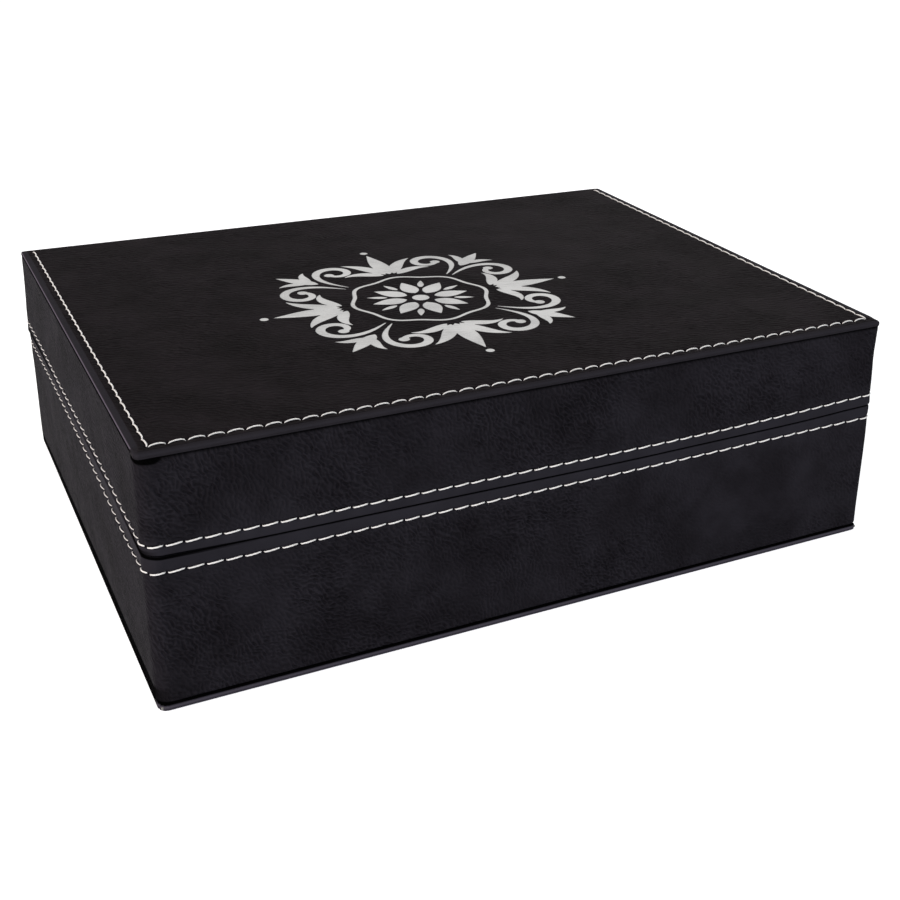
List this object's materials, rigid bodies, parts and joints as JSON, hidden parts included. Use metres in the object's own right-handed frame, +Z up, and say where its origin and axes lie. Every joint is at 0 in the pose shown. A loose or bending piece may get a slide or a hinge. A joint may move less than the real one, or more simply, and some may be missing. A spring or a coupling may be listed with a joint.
{
  "type": "leatherette gift box",
  "caption": "Low rectangular keepsake box in stitched black leatherette, with overhanging top and bottom panels, a fold-hinged lid and an engraved ornament.",
  "frame": {"origin": "centre of the bottom face, on the surface that the box stands on", "axes": "+Z up, +X along the front towards the right, -Y out of the front, so the hinge is at +Y"},
  "size_m": [0.255, 0.201, 0.0817],
  "materials": {
    "leatherette": "satin black, fine grain",
    "thread": "off-white heavy polyester thread",
    "fibreboard": "raw fibreboard",
    "greyboard": "raw case board",
    "velour": "black velour",
    "magnet": "nickel-plated"
  },
  "bodies": {
    "base": {"bottom_cover": "leatherette", "bottom_board": "greyboard", "spine_lower_board": "greyboard", "base_cover": "leatherette", "base_stitching": "thread", "base_floor_board": "fibreboard", "base_floor_pad": "velour", "base_front_board": "fibreboard", "base_rear_board": "fibreboard", "base_left_board": "fibreboard", "base_right_board": "fibreboard", "base_front_liner": "velour", "base_rear_liner": "velour", "base_left_liner": "velour", "base_right_liner": "velour", "base_magnet_left": "magnet", "base_magnet_right": "magnet"},
    "lid": {"top_cover": "leatherette", "top_stitching": "thread", "top_board": "greyboard", "spine_upper_board": "greyboard", "lid_cover": "leatherette", "lid_stitching": "thread", "lid_ceiling_board": "fibreboard", "lid_ceiling_pad": "velour", "lid_front_board": "fibreboard", "lid_rear_board": "fibreboard", "lid_left_board": "fibreboard", "lid_right_board": "fibreboard", "lid_front_liner": "velour", "lid_rear_liner": "velour", "lid_left_liner": "velour", "lid_right_liner": "velour", "lid_magnet_left": "magnet", "lid_magnet_right": "magnet"}
  },
  "joints": [
    {"name": "lid_hinge", "type": "hinge", "parent": "base", "child": "lid", "pos_m": [0, 0.09905, 0.049], "axis": [-1, 0, 0], "range_deg": [0, 105]}
  ]
}
